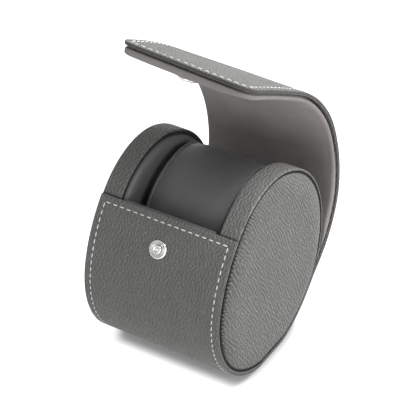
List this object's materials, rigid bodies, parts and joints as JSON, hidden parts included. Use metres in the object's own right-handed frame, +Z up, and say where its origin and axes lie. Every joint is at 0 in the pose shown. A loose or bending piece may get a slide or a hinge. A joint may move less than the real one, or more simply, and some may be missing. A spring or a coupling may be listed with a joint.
{
  "type": "watch travel case",
  "caption": "Leather travel case for a watch: a padded drum, a wrap-round flap with a press stud, and a lift-out cushion.",
  "frame": {"origin": "middle of the flat base that the case stands on", "axes": "X along the drum towards the right end, -Y towards the front panel with the press stud, +Z up"},
  "size_m": [0.0798, 0.1177, 0.1696],
  "materials": {
    "outer_leather": "pebbled, satin",
    "dark_leather": "smooth, satin",
    "dark_leather_pad": "smooth, satin",
    "suede_lining": "matte",
    "board": "matte",
    "foam": "matte",
    "snap_metal": "satin"
  },
  "bodies": {
    "drum": {"wrap_leather": "outer_leather", "tub_shell": "board", "tub_lining": "dark_leather", "cradle_pad": "dark_leather_pad", "snap_stud": "snap_metal", "snap_stud_washer": "snap_metal", "end_band_left": "outer_leather", "end_hoop_left": "board", "end_core_left": "foam", "end_board_left": "board", "end_foam_left": "foam", "end_disc_left": "outer_leather", "cheek_lining_left": "dark_leather_pad", "end_band_right": "outer_leather", "end_hoop_right": "board", "end_core_right": "foam", "end_board_right": "board", "end_foam_right": "foam", "end_disc_right": "outer_leather", "cheek_lining_right": "dark_leather_pad"},
    "flap_1": {"flap_leather_1": "outer_leather", "flap_board_1": "board", "flap_pad_1": "suede_lining"},
    "flap_2": {"flap_leather_2": "outer_leather", "flap_board_2": "board", "flap_pad_2": "suede_lining"},
    "flap_3": {"flap_leather_3": "outer_leather", "flap_board_3": "board", "flap_pad_3": "suede_lining"},
    "flap_4": {"flap_leather_4": "outer_leather", "flap_board_4": "board", "flap_pad_4": "suede_lining"},
    "flap_5": {"flap_leather_5": "outer_leather", "flap_board_5": "board", "flap_pad_5": "suede_lining", "snap_socket": "snap_metal", "snap_socket_washer": "snap_metal"},
    "cushion": {"cushion_cover": "dark_leather", "cushion_end_left": "dark_leather", "cushion_end_right": "dark_leather", "cushion_core": "foam"}
  },
  "joints": [
    {"name": "flap_fold_1", "type": "hinge", "parent": "drum", "child": "flap_1", "pos_m": [0, 0.04895, 0.0279], "axis": [1, 0, 0], "range_deg": [-20, 18]},
    {"name": "flap_fold_2", "type": "hinge", "parent": "flap_1", "child": "flap_2", "pos_m": [0, 0.0654, 0.06128], "axis": [1, 0, 0], "range_deg": [-4.5, 4.1]},
    {"name": "flap_fold_3", "type": "hinge", "parent": "flap_2", "child": "flap_3", "pos_m": [0, 0.05636, 0.10771], "axis": [1, 0, 0], "range_deg": [-17.8, 16.1]},
    {"name": "flap_fold_4", "type": "hinge", "parent": "flap_3", "child": "flap_4", "pos_m": [0, 0.02413, 0.14256], "axis": [1, 0, 0], "range_deg": [-33.4, 30.1]},
    {"name": "flap_fold_5", "type": "hinge", "parent": "flap_4", "child": "flap_5", "pos_m": [0, 0.00117, 0.15676], "axis": [1, 0, 0], "range_deg": [-20.6, 18.6]},
    {"name": "cushion_lift_out", "type": "hinge", "parent": "drum", "child": "cushion", "pos_m": [0, -0.04, 0.0846], "axis": [1, 0, 0], "range_deg": [0, 170]}
  ],
  "couplings": [
    {"joint": "flap_fold_2", "follows": "flap_fold_1", "ratio": 0.22222},
    {"joint": "flap_fold_3", "follows": "flap_fold_1", "ratio": 0.88889},
    {"joint": "flap_fold_4", "follows": "flap_fold_1", "ratio": 1.6667},
    {"joint": "flap_fold_5", "follows": "flap_fold_1", "ratio": 1.0278}
  ]
}
